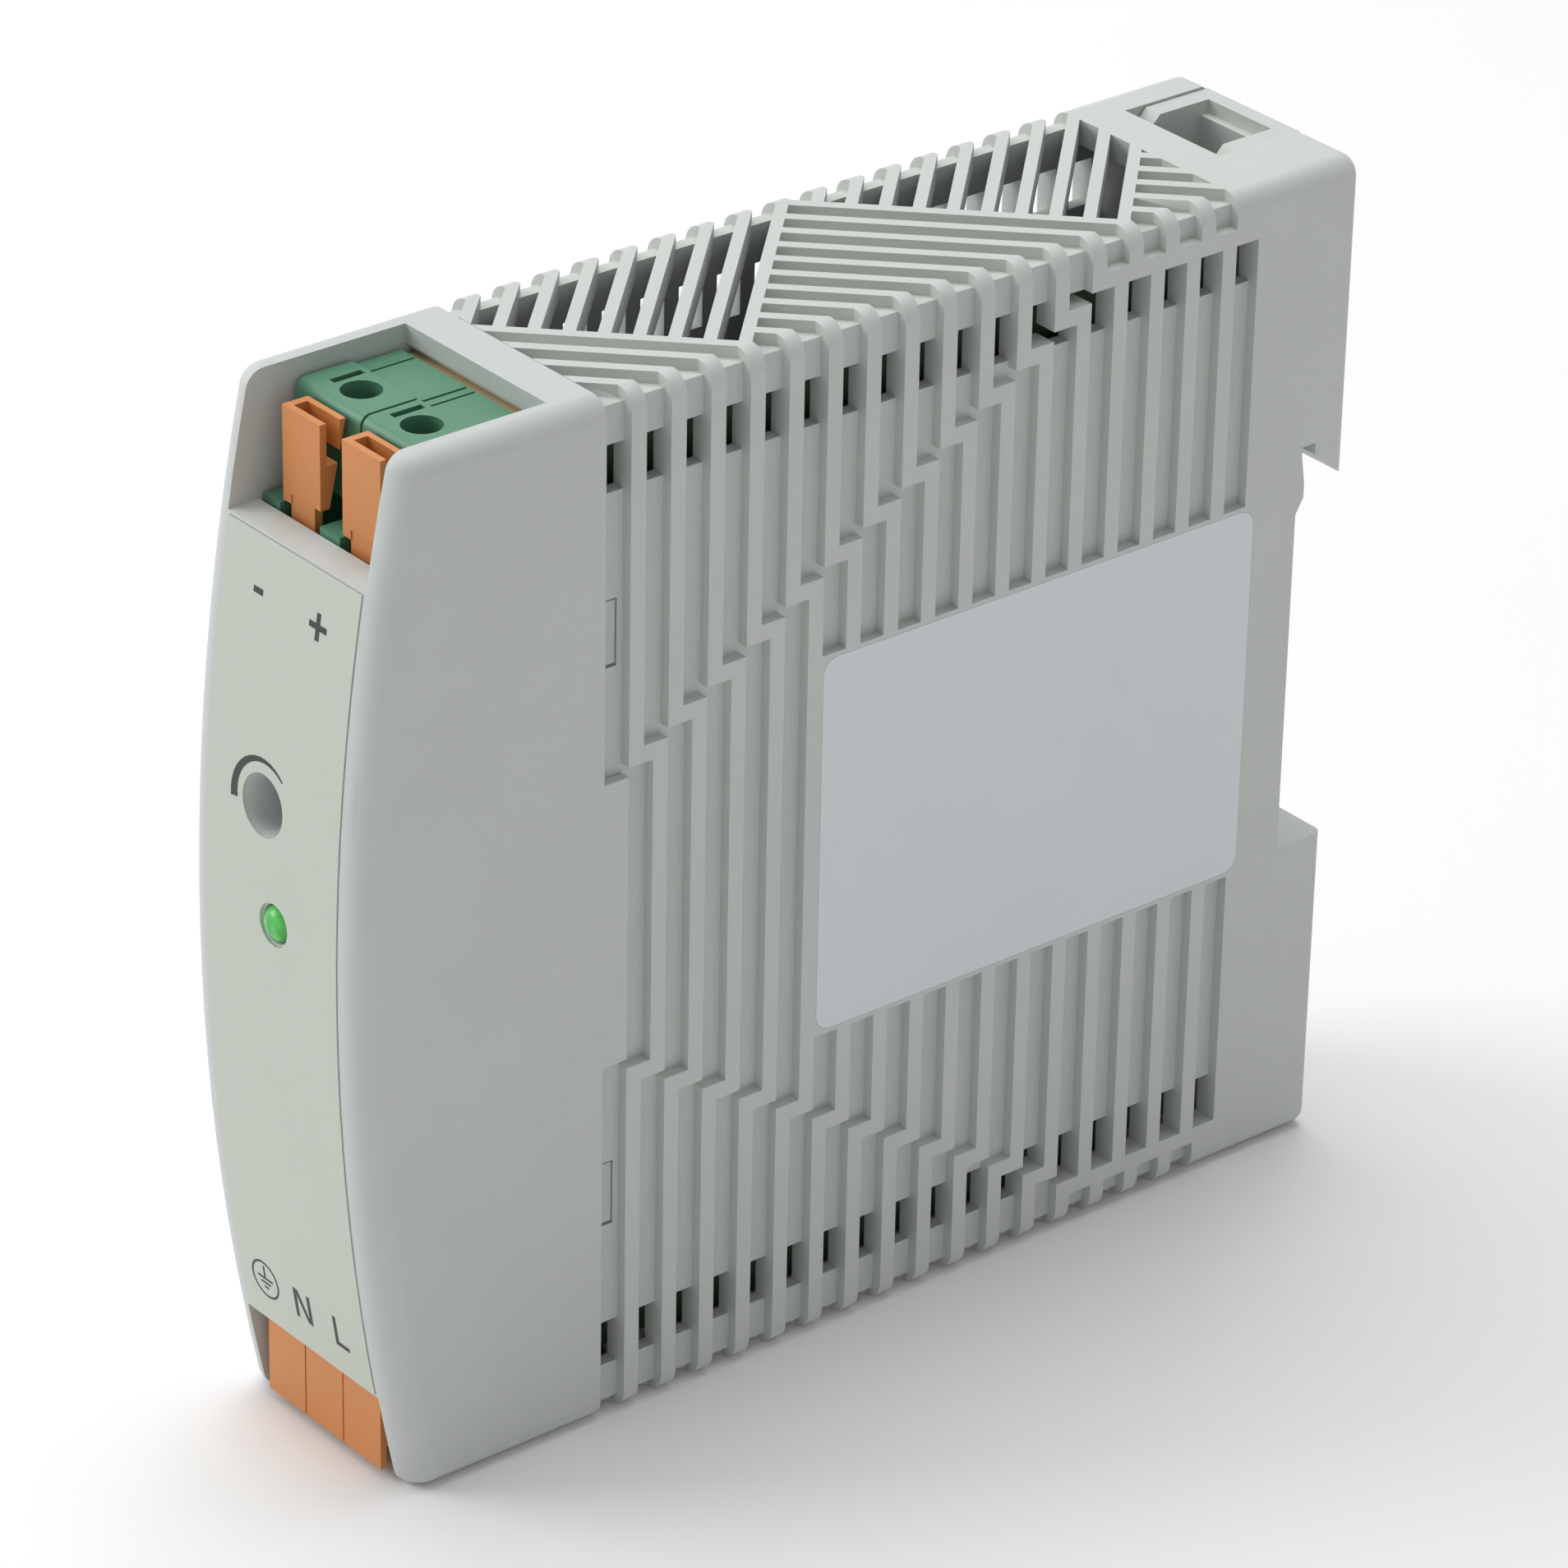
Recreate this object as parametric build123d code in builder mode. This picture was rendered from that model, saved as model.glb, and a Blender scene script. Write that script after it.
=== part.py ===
from build123d import *
from math import sqrt
import os

os.makedirs("parts", exist_ok=True)

# A slim power supply for a 35 mm mounting rail, in millimetres.
# X runs across the module, Y from the front (-) to the rail (+), Z up.
# The origin is under the middle of the housing, on the plane of its bottom ribs.

# ---------------------------------------------------------------- overall
width = 22.5  # one and a quarter rail modules
height = 90.0
depth = 100.0  # tip of the status lamp to the rear face
middle = height / 2
fit_gap = 0.05  # between parts that stay together
slide_gap = 0.12  # between parts that slide past each other

# ---------------------------------------------------------------- ribbed shell
rib_depth = 1.0
rib_width = 1.45
rib_pitch = 3.8
rib_count = 16
shell_wall = 1.2  # below the ribs
edge_round = 1.7
rear_round = 0.8
groove_round = 0.5  # edges of the floor between the ribs
window_height = 4.0
window_inset = 4.3  # top or bottom face to the nearer edge of a window
jog_start = 12.5  # mid-height to the top of the cover margin's jog
jog_step = 2.28  # each rib jogs this much higher than the one before
jog_last = 13  # from this rib on, the jogs form one bar above the windows
zigzag_span = 5  # pitches that a slanted rib takes to cross the module
first_node = 4  # rib at which the zigzag first touches the right side

# ---------------------------------------------------------------- front cover
lamp_reach = 0.3  # the lamp's dome ahead of the film
crown_rise = 5.0  # bow of the front face over the full height
cover_length = 23.45  # film's crown to the cover's rear margin
cover_wall = 2.4
cheek = 2.45  # side walls beside the terminals
front_round = 2.4
skirt_length = 3.3  # overlap on the housing
bay_length = 19.6  # film's crown to the rear edge of the terminal openings
plate_low = 8.6
plate_high = 79.2
lip_height = 2.0
top_lip_reach = 5.9  # film's crown to the back of the ledge above the front wall
bottom_lip_reach = 4.4
film_thickness = 0.25
film_recess = 0.15
film_margin = 0.3  # from the front wall's ends and the cheeks
tongue_height = 5.4
tongue_offset = 24.8  # mid-height to the middle of a snap tongue
tongue_width = 1.35
tongue_barb = 1.15

# ---------------------------------------------------------------- rail seat
rail_height = 35.0
rail_sheet = 1.0
rail_top = 65.5
rail_play = 0.1
slot_depth = 5.1
shelf_drop = 1.9  # rail's lower edge to the shelf
seat_proud = 0.8
hook_reach = 3.3  # how far the hook's tip hangs below the rail's upper edge
hook_grip = 0.95

# ---------------------------------------------------------------- rail latch
latch_width = 11.2
latch_offset = -1.5  # the latch sits left of the middle
latch_sheet = 2.4
latch_rib = 8.4
latch_rib_depth = 1.2
latch_top = 89.8
latch_bottom = 20.0
latch_travel = 3.0
latch_grip = 1.2  # overlap of the nose behind the rail's lower edge
loop_height = 19.6
loop_well = 12.0
loop_bar = 1.5
loop_arm = 1.8
loop_reach = 8.1
channel_bottom = 9.0
channel_front = 67.3  # cover margin to the front wall of the latch channel
spring_wire = 0.5
spring_radius = 1.3
spring_turns = 6

# ---------------------------------------------------------------- label
label_length = 45.0
label_height = 33.4
label_thickness = 0.12
label_round = 1.5
label_start = 21.5  # cover margin to the label
label_centre = 44.9
label_border = 0.4  # flush pad around the label

# ---------------------------------------------------------------- boards
board_sheet = 1.6
front_board_gap = 2.85  # cover margin to the rear face of the front board
front_board_top = 87.6
front_board_bottom = 2.6
main_board_right = 7.6
main_board_top = 86.6
main_board_bottom = 3.4
main_board_end = 65.0
board_gap = 0.3  # between the two boards
guide_length = 6.0
guide_wall = 0.7
lead_size = 0.6
lead_gap = 0.05
lead_reach = 0.7  # beyond the soldered face
link_pins_count = 6
link_pitch = 2.54
link_x = 4.6
link_height = 42.3

# ---------------------------------------------------------------- terminals
output_poles = 2
output_pitch = 7.62
output_wall = 0.8
output_top = 88.5
output_height = 14.0
output_front = 14.4  # cover margin to the front face above the step
output_step_front = 17.4
output_step = 8.7  # entry face to the step under the buttons
output_bore = 1.65
output_bore_back = 11.6
output_button_width = 4.8
output_button_front = 17.2
output_button_length = 7.1
input_poles = 3
input_pitch = 5.08
input_wall = 0.45
input_bottom = 1.6
input_height = 15.5
input_front = 15.9
input_step = 11.4  # entry face to the step above the buttons
input_bore = 1.3
input_bore_back = 12.3
input_button_gap = 0.16
input_button_front = 19.0
input_button_length = 8.3
button_travel = 1.5
output_button_recess = 0.5  # entry face of the block to the outer end of a button
input_button_proud = 0.7
chamber_wall = 0.65  # between a clamp and the front board
pin_size = 0.9

# ---------------------------------------------------------------- front controls
lamp_height = 48.4
lamp_offset = 0.4
lamp_radius = 1.5
lamp_flange = 0.35
trimmer_height = 57.9
trimmer_offset = -1.3
trimmer_access = 2.6
trimmer_tube = 3.5
trimmer_body_size = 9.5
trimmer_body_depth = 4.8
lamp_length = 4.3
spacer_radius = 2.4
trimmer_lead_x = 2.54
trimmer_lead_z = 2.5
lamp_lead_x = 1.27
rotor_radius = 1.6
rotor_depth = 2.0
rotor_reach = 1.4
rotor_slot = 0.5

# ---------------------------------------------------------------- derived places
y_rear = depth / 2
y_film = -depth / 2 + lamp_reach
y_edge = y_film + cover_length
y_rim = y_edge - skirt_length
y_bay = y_film + bay_length
cover_proud = film_thickness - film_recess
front_radius = (middle**2 + crown_rise**2) / (2 * crown_rise)
groove = rib_pitch - rib_width
core_half = width / 2 - rib_depth
inner_half = core_half - shell_wall
floor_level = rib_depth + shell_wall
node_x = zigzag_span * rib_pitch / 2
bay_half = width / 2 - cheek


def front_y(offset, z):
    """Y of the bowed front at height z, on the arc that lies offset behind the film."""
    return y_film + front_radius - sqrt((front_radius - offset) ** 2 - (z - middle) ** 2)


def front_arc(offset, low, high):
    """The bowed front's arc between two heights, in the Y-Z plane."""
    ends = [(front_y(offset, z), z) for z in (low, (low + high) / 2, high)]
    return ThreePointArc(*ends)


def rib_front(number):
    """Y of a rib's front edge at the top and bottom of the side; rib 0 is the cover."""
    return y_edge - rib_width + number * rib_pitch


def jog_top(number):
    """Height at which a rib's upper jog starts."""
    return middle + jog_start + jog_step * min(number, jog_last)


y_block = rib_front(rib_count + 1)
y_ribs = y_edge + fit_gap  # front end of the ribs on the top and bottom


def cuboid(x, y, z, mode=Mode.ADD):
    """A box between two values on each axis, in the part that is being built."""
    with Locations(((x[0] + x[1]) / 2, (y[0] + y[1]) / 2, (z[0] + z[1]) / 2)):
        return Box(x[1] - x[0], y[1] - y[0], z[1] - z[0], mode=mode)


def cuboids(size, centres, mode=Mode.ADD):
    """Equal boxes around several centres, in the part that is being built."""
    with Locations(*centres):
        return Box(*size, mode=mode)


def barrel(axis, centre, radius, low, high, mode=Mode.ADD):
    """A cylinder along an axis from low to high, centred at two values on the other axes."""
    turn = {"x": (0, 90, 0), "y": (90, 0, 0), "z": (0, 0, 0)}[axis]
    half = (low + high) / 2
    place = {"x": (half, *centre), "y": (centre[0], half, centre[1]), "z": (*centre, half)}[axis]
    with Locations(place):
        return Cylinder(radius, high - low, rotation=turn, mode=mode)


def rib_outline(number):
    """Corners of one side rib in Y and Z, with a jog above and below mid-height."""
    front = rib_front(number)
    rear = front + rib_width
    high = jog_top(number)
    low = high - rib_width
    upper = [(rear, height + 1), (rear, high), (rear + groove, high)]
    lower = [(y, height - z) for y, z in reversed(upper)]
    inner_lower = [(front, -1), (front, height - low), (front + groove, height - low)]
    inner_upper = [(y, height - z) for y, z in reversed(inner_lower)]
    return upper + lower + inner_lower + inner_upper


def side_grooves(with_label_pad):
    """Everything between the side ribs, in Y and Z."""
    with BuildSketch() as pattern:
        start = y_rim - 1
        end = y_block + groove
        with Locations(((start + end) / 2, middle)):
            Rectangle(end - start, height + 2)
        for number in range(1, rib_count + 1):
            Polygon(*rib_outline(number), align=None, mode=Mode.SUBTRACT)
        high = jog_top(rib_count + 1) - rib_width
        for z in (high, height - high):
            outer = height + 1 if z > middle else -1
            with Locations((y_block + groove / 2, (z + outer) / 2)):
                Rectangle(groove, abs(outer - z), mode=Mode.SUBTRACT)
        if with_label_pad:
            pad_end = y_block + groove
            pad_start = y_edge + label_start - label_border
            with Locations(((pad_start + pad_end) / 2, label_centre)):
                Rectangle(pad_end - pad_start, label_height + 2 * label_border, mode=Mode.SUBTRACT)
    return pattern.sketch


def slanted(front_right, slope):
    """One slanted rib across the top, as corners in X and Y; slope is +1 or -1."""
    run = 2 * node_x * slope
    return [
        (node_x, front_right),
        (node_x, front_right + rib_width),
        (-node_x, front_right + rib_width - run),
        (-node_x, front_right - run),
    ]


def closed_triangles():
    """Areas of the top whose floor is closed, between their slanted ribs."""
    a = rib_front(first_node)
    b = rib_front(first_node + 2 * zigzag_span)
    half = (b - a - rib_width) / 2
    with BuildSketch() as pattern:
        Polygon((node_x, y_ribs), (node_x, a), (node_x - (a - y_ribs), y_ribs), align=None)
        Polygon((node_x, a + rib_width), (node_x, b), (node_x - half, b - half), align=None)
        reach = y_block - b - rib_width
        Polygon((node_x, b + rib_width), (node_x, y_block), (node_x - reach, y_block), align=None)
        for number in range(1, rib_count + zigzag_span):
            Polygon(*slanted(rib_front(number), 1), align=None, mode=Mode.SUBTRACT)
    return pattern.sketch


def open_triangles():
    """Areas of the top that are open slots, between their slanted ribs."""
    a = rib_front(first_node)
    b = rib_front(first_node + 2 * zigzag_span)
    left_a = a + 2 * node_x
    tip = rib_width / 2
    with BuildSketch() as pattern:
        Polygon(
            (-node_x, y_ribs),
            (node_x - (a + rib_width - y_ribs), y_ribs),
            (node_x - tip, a + tip),
            (-node_x, left_a),
            align=None,
        )
        Polygon(
            (-node_x, left_a + rib_width),
            (node_x - tip, b + tip),
            (node_x - (y_block - b), y_block),
            (-node_x, y_block),
            align=None,
        )
        for number in range(1, rib_count + zigzag_span):
            right_end = rib_front(number) - 2 * node_x
            Polygon(*slanted(right_end, -1), align=None, mode=Mode.SUBTRACT)
    return pattern.sketch


def face_grooves():
    """All of the top or bottom face that lies at the floor between the ribs."""
    with BuildSketch() as pattern:
        start = y_rim - 1
        for side in (-1, 1):
            band = width / 2 + 1 - node_x
            with Locations((side * (node_x + band / 2), (start + y_block) / 2)):
                Rectangle(band, y_block - start)
            for number in range(1, rib_count + 1):
                with Locations((side * (node_x + band / 2), rib_front(number) + rib_width / 2)):
                    Rectangle(band, rib_width, mode=Mode.SUBTRACT)
        with Locations((0, (start + y_ribs) / 2)):
            Rectangle(width + 2, y_ribs - start)
        add(closed_triangles())
        add(open_triangles())
    return pattern.sketch


def window_bands():
    """Two strips along the side, one near the top and one near the bottom."""
    with BuildSketch() as pattern:
        for z in (window_inset + window_height / 2, height - window_inset - window_height / 2):
            with Locations(((y_edge + y_block + groove) / 2, z)):
                Rectangle(y_block + groove - y_edge, window_height)
    return pattern.sketch


def rail_slot():
    """The slot that takes the rail, as seen from the side, in Y and Z."""
    wall = y_rear - slot_depth
    seat = wall + seat_proud
    lip = seat + rail_sheet + rail_play / 2
    shelf = rail_top - rail_height - shelf_drop
    notch = rail_top + rail_play
    return [
        (y_rear + 1, shelf),
        (wall, shelf),
        (wall, rail_top - 5.9),
        (seat, rail_top - 4.5),
        (seat, rail_top - 3.3),
        (seat - seat_proud / 2, rail_top - 0.6),
        (seat - seat_proud / 2, notch),
        (lip, notch),
        (lip, rail_top - hook_grip),
        (y_rear - 0.45, rail_top - hook_reach),
        (y_rear + 1, rail_top - hook_reach),
    ]


board_front = y_edge - front_board_gap - board_sheet
block_back = board_front - fit_gap
board_left = main_board_right - board_sheet

# ================================================================= housing
channel_y = y_edge + channel_front
channel_lip_y = channel_y + latch_sheet + 2 * slide_gap
slot_wall = y_rear - slot_depth
shelf_z = rail_top - rail_height - shelf_drop
channel_x = (
    latch_offset - latch_width / 2 - slide_gap,
    latch_offset + latch_width / 2 + slide_gap,
)
channel_rib_x = (
    latch_offset - latch_rib / 2 - slide_gap,
    latch_offset + latch_rib / 2 + slide_gap,
)
loop_floor = latch_top - loop_height
lip_end = rail_top - hook_reach - 0.5
nose_low = shelf_z - latch_travel - 3.4

with BuildPart() as main_housing:
    with BuildSketch(Plane.XZ.offset(-y_rear)):
        with Locations((0, middle)):
            RectangleRounded(width, height, edge_round)
    extrude(amount=y_rear - y_rim)
    rear_edges = main_housing.faces().sort_by(Axis.Y)[-1].edges()
    fillet(rear_edges, rear_round)
    # floor between the side ribs
    with BuildSketch(Plane.YZ.offset(core_half)):
        add(side_grooves(with_label_pad=True))
    extrude(amount=rib_depth + 1, mode=Mode.SUBTRACT)
    with BuildSketch(Plane.YZ.offset(-core_half)):
        add(side_grooves(with_label_pad=False))
    extrude(amount=-rib_depth - 1, mode=Mode.SUBTRACT)
    # floor between the ribs of the top and bottom
    with BuildSketch(Plane.XY.offset(height - rib_depth)):
        add(face_grooves())
    extrude(amount=rib_depth + 1, mode=Mode.SUBTRACT)
    with BuildSketch(Plane.XY.offset(rib_depth)):
        add(face_grooves())
    extrude(amount=-rib_depth - 1, mode=Mode.SUBTRACT)
    # inside
    cavity_y = (y_rim - 1, channel_y - shell_wall)
    cuboid((-inner_half, inner_half), cavity_y, (floor_level, height - floor_level), Mode.SUBTRACT)
    # open slots of the top and bottom, and the rows of side windows
    for level, step in ((height - floor_level - 1, shell_wall + 2), (floor_level + 1, -shell_wall - 2)):
        with BuildSketch(Plane.XY.offset(level)):
            add(open_triangles())
            with Locations((0, (y_edge + y_block) / 2)):
                Rectangle(2 * inner_half, y_block - y_edge, mode=Mode.INTERSECT)
        extrude(amount=step, mode=Mode.SUBTRACT)
    with BuildSketch(Plane.YZ):
        add(side_grooves(with_label_pad=False))
        add(window_bands(), mode=Mode.INTERSECT)
    extrude(amount=width, both=True, mode=Mode.SUBTRACT)
    # guides that hold the top and bottom edges of the main board
    guide_bite = 0.8
    guide_span = main_board_bottom + guide_bite - floor_level + 0.1
    guide_centres = [
        (x + guide_wall / 2, y + guide_length / 2, z)
        for x in (board_left - 0.1 - guide_wall, main_board_right + 0.1)
        for y in (y_edge + 3, y_edge + main_board_end - guide_length - 2)
        for z in (main_board_bottom + guide_bite - guide_span / 2, main_board_top - guide_bite + guide_span / 2)
    ]
    cuboids((guide_wall, guide_length, guide_span), guide_centres)
    # windows for the cover's snap tongues
    window_centres = [
        (side * (inner_half + core_half) / 2, y_edge + 0.3 + (tongue_width + 0.2) / 2, z)
        for side in (-1, 1)
        for z in (middle - tongue_offset, middle + tongue_offset)
    ]
    cuboids((3, tongue_width + 0.2, tongue_height + 0.4), window_centres, Mode.SUBTRACT)
    # recess of the side label
    with BuildSketch(Plane.YZ.offset(width / 2 - label_thickness)):
        with Locations((y_edge + label_start + label_length / 2, label_centre)):
            RectangleRounded(label_length + fit_gap, label_height + fit_gap, label_round)
    extrude(amount=1, mode=Mode.SUBTRACT)
    # rail slot
    with BuildSketch(Plane.YZ):
        Polygon(*rail_slot(), align=None)
    extrude(amount=width, both=True, mode=Mode.SUBTRACT)
    # channel of the rail latch: wide in front, narrow between two lips, open to the rear above
    cuboid(channel_x, (channel_y, channel_lip_y), (channel_bottom, height + 1), Mode.SUBTRACT)
    cuboid(channel_rib_x, (channel_lip_y, slot_wall + 1), (channel_bottom, lip_end + 1), Mode.SUBTRACT)
    cuboid(channel_x, (channel_lip_y, y_rear + 1), (lip_end, height + 1), Mode.SUBTRACT)
    cuboid(channel_x, (slot_wall, y_rear + 1), (shelf_z + 1, lip_end + 1), Mode.SUBTRACT)
    cuboid(channel_x, (channel_lip_y, y_rear + 1), (nose_low, shelf_z + 1), Mode.SUBTRACT)
main_housing.part.label = "main_housing"

# ================================================================= front cover
with BuildPart() as front_cover:
    with BuildSketch(Plane.YZ):
        with BuildLine():
            bow = front_arc(cover_proud, 0, height)
            high = jog_top(0)
            margin = [(y_edge, height), (y_edge, high), (y_edge + groove, high)]
            margin += [(y, height - z) for y, z in reversed(margin)]
            Polyline(bow @ 1, *margin, bow @ 0)
        make_face()
    extrude(amount=width / 2, both=True)
    fillet(front_cover.edges().filter_by(GeomType.CIRCLE), front_round)
    by_height = front_cover.faces().filter_by(Axis.Z).sort_by(Axis.Z)
    rim_edges = ShapeList()
    for face in (by_height[0], by_height[-1]):
        rim_edges += face.edges().sort_by(Axis.Y)[:-1]
    fillet(rim_edges, edge_round)
    # hollow behind the front wall, open at the top and bottom
    top_lip = y_film + top_lip_reach
    bottom_lip = y_film + bottom_lip_reach
    high = plate_high - lip_height
    low = middle - sqrt((front_radius - cover_wall) ** 2 - (front_radius - bottom_lip_reach) ** 2)
    with BuildSketch(Plane.YZ):
        with BuildLine():
            inner = front_arc(cover_wall, low, high)
            Polyline(
                inner @ 1,
                (top_lip, high),
                (top_lip, height + 1),
                (y_bay, height + 1),
                (y_bay, -1),
                (bottom_lip, -1),
                inner @ 0,
            )
        make_face()
    extrude(amount=bay_half, both=True, mode=Mode.SUBTRACT)
    # terminal bays, open to the front between the cheeks
    bay_x = (-bay_half, bay_half)
    cuboid(bay_x, (y_film - 1, top_lip + 1), (plate_high, height + 1), Mode.SUBTRACT)
    cuboid(bay_x, (y_film - 1, bottom_lip + 1), (-1, plate_low), Mode.SUBTRACT)
    # behind the bays, and the skirt that slips over the housing
    strip = 1.6
    cuboid(bay_x, (y_bay - 1, y_rim + 1), (strip, height - strip), Mode.SUBTRACT)
    skirt_half = core_half + fit_gap
    skirt_z = (rib_depth - fit_gap, height - rib_depth + fit_gap)
    skirt_y = (y_rim - fit_gap, y_edge + groove + 1)
    cuboid((-skirt_half, skirt_half), skirt_y, skirt_z, Mode.SUBTRACT)
    # recess of the film
    with BuildSketch(Plane.YZ):
        with BuildLine():
            film_low = plate_low + film_margin
            film_high = plate_high - film_margin
            outer = front_arc(-1, film_low - fit_gap, film_high + fit_gap)
            inner = front_arc(film_thickness, film_low - fit_gap, film_high + fit_gap)
            Line(outer @ 0, inner @ 0)
            Line(outer @ 1, inner @ 1)
        make_face()
    extrude(amount=bay_half - film_margin + fit_gap, both=True, mode=Mode.SUBTRACT)
    # tube that guides a screwdriver to the trimmer, and the lamp's hole
    tube_back = y_edge - front_board_gap - board_sheet - trimmer_body_depth - rotor_reach - 0.8
    with BuildSketch(Plane.XZ.offset(-tube_back)):
        with Locations((trimmer_offset, trimmer_height)):
            Circle(trimmer_tube)
    extrude(amount=tube_back - y_film - cover_wall + 0.5)
    with Locations(Plane.XZ.offset(-tube_back)):
        with Locations((trimmer_offset, trimmer_height, 0)):
            Cylinder(trimmer_access, 2 * depth, mode=Mode.SUBTRACT)
        with Locations((lamp_offset, lamp_height, 0)):
            Cylinder(lamp_radius + 0.15, 2 * depth, mode=Mode.SUBTRACT)
    # snap tongues that spring into the housing's windows
    tongue_half = inner_half - 0.1
    blade = 1.2
    for side in (-1, 1):
        tongue_z = (middle - tongue_offset, middle + tongue_offset)
        root = (bay_half + 0.3 - tongue_half + blade, 4.8, tongue_height)
        root_x = side * (bay_half + 0.3 - root[0] / 2)
        cuboids(root, [(root_x, y_rim - 0.2 - root[1] / 2, z) for z in tongue_z])
        reach = (y_rim - 1, y_edge + 0.4 + tongue_width)
        blade_x = side * (tongue_half - blade / 2)
        blade_size = (blade, reach[1] - reach[0], tongue_height)
        cuboids(blade_size, [(blade_x, sum(reach) / 2, z) for z in tongue_z])
        barb_size = (tongue_barb + 0.5, tongue_width, tongue_height)
        barb_x = side * (tongue_half + tongue_barb - barb_size[0] / 2)
        cuboids(barb_size, [(barb_x, reach[1] - tongue_width / 2, z) for z in tongue_z])
front_cover.part.label = "front_cover"

with BuildPart() as front_film:
    with BuildSketch(Plane.YZ):
        with BuildLine():
            outer = front_arc(0, plate_low + film_margin, plate_high - film_margin)
            inner = front_arc(film_thickness, plate_low + film_margin, plate_high - film_margin)
            Line(outer @ 0, inner @ 0)
            Line(outer @ 1, inner @ 1)
        make_face()
    extrude(amount=bay_half - film_margin, both=True)
    with Locations(Plane.XZ):
        with Locations((trimmer_offset, trimmer_height, 0)):
            Cylinder(trimmer_access, 2 * depth, mode=Mode.SUBTRACT)
        with Locations((lamp_offset, lamp_height, 0)):
            Cylinder(lamp_radius + 0.3, 2 * depth, mode=Mode.SUBTRACT)
front_film.part.label = "front_film"

with BuildPart() as side_label:
    with BuildSketch(Plane.YZ.offset(width / 2 - label_thickness)):
        with Locations((y_edge + label_start + label_length / 2, label_centre)):
            RectangleRounded(label_length, label_height, label_round)
    extrude(amount=label_thickness)
side_label.part.label = "side_label"

# ================================================================= rail latch
plate_y = (channel_y + slide_gap, channel_y + slide_gap + latch_sheet)
rib_y = plate_y[1] + latch_rib_depth
latch_x = (latch_offset - latch_width / 2, latch_offset + latch_width / 2)
latch_rib_x = (latch_offset - latch_rib / 2, latch_offset + latch_rib / 2)
latch_rear = y_rear - 0.1
nose_top = rail_top - rail_height + latch_grip
nose_front = slot_wall + seat_proud + rail_sheet + 0.15

spring_y = (channel_y + slot_wall) / 2

with BuildPart() as rail_latch:
    cuboid(latch_x, plate_y, (latch_bottom, loop_floor + 1))
    cuboid(latch_rib_x, (plate_y[1] - 0.5, rib_y), (latch_bottom, loop_floor + 1))
    barrel("z", (latch_offset, spring_y), spring_radius - spring_wire / 2 - 0.15, latch_bottom - 2.6, latch_bottom + 1)
    # block of the release loop, hollowed for the screwdriver
    cuboid(latch_x, (plate_y[0], latch_rear), (loop_floor, latch_top))
    well_x = (latch_x[0] + loop_arm, latch_x[1] - loop_arm)
    well_y = (plate_y[0] - 1, latch_rear - loop_bar - 0.8)
    cuboid(well_x, well_y, (latch_top - loop_well, latch_top + 1), Mode.SUBTRACT)
    cuboid(well_x, (plate_y[0] - 1, latch_rear - loop_bar), (latch_top - 1.2, latch_top + 1), Mode.SUBTRACT)
    front_ends = rail_latch.faces().filter_by(Axis.Y).group_by(Axis.Y)[0].edges()
    bevel_edges = front_ends.filter_by(Axis.X).group_by(Axis.Z)[-1]
    chamfer(bevel_edges, 2.0)
    # sprung nose that grips the rail's lower edge, with a lead-in slope behind
    with BuildSketch(Plane.YZ.offset(latch_x[0])):
        Polygon(
            (slot_wall + 0.1, shelf_z - 3.0),
            (latch_rear, shelf_z - 3.0),
            (latch_rear, shelf_z + 0.1),
            (nose_front + 1.2, nose_top),
            (nose_front, nose_top),
            (nose_front, nose_top - latch_grip - 0.1),
            (slot_wall + 0.1, nose_top - latch_grip - 0.1),
            align=None,
        )
    extrude(amount=latch_width)
    cuboid(latch_rib_x, (rib_y - 0.5, slot_wall + 0.5), (shelf_z - 3.0, nose_top - latch_grip - 0.1))
    # ramps that snap under the lips of the channel and stop the latch there
    for x in (latch_x[0], latch_rib_x[1]):
        with BuildSketch(Plane.YZ.offset(x)):
            Polygon(
                (plate_y[1] - 0.2, shelf_z - 0.1),
                (plate_y[1] + 0.6, shelf_z - 0.1),
                (plate_y[1] - 0.2, shelf_z - 2.6),
                align=None,
            )
        extrude(amount=(latch_width - latch_rib) / 2)
rail_latch.part.label = "rail_latch"

with BuildPart() as latch_spring:
    spring_length = latch_bottom - channel_bottom - spring_wire
    with BuildLine():
        coil = Helix(
            pitch=spring_length / spring_turns,
            height=spring_length,
            radius=spring_radius,
            center=(latch_offset, spring_y, channel_bottom + spring_wire / 2),
        )
    with BuildSketch(Plane(origin=coil @ 0, z_dir=coil % 0)):
        RegularPolygon(spring_wire / 2, 6)
    sweep(is_frenet=True)
latch_spring.part.label = "latch_spring"

# ================================================================= terminals
def pole_centres(count, pitch):
    """X of each pole of a terminal block."""
    return [(index - (count - 1) / 2) * pitch for index in range(count)]


def pin_hole(x, z):
    """The square hole of a contact's pin through the back wall of its block."""
    half = pin_size / 2 + lead_gap
    cuboid((x - half, x + half), (block_back - 1, y_edge), (z - half, z + half), Mode.SUBTRACT)


output_x = pole_centres(output_poles, output_pitch)
input_x = pole_centres(input_poles, input_pitch)

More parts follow.
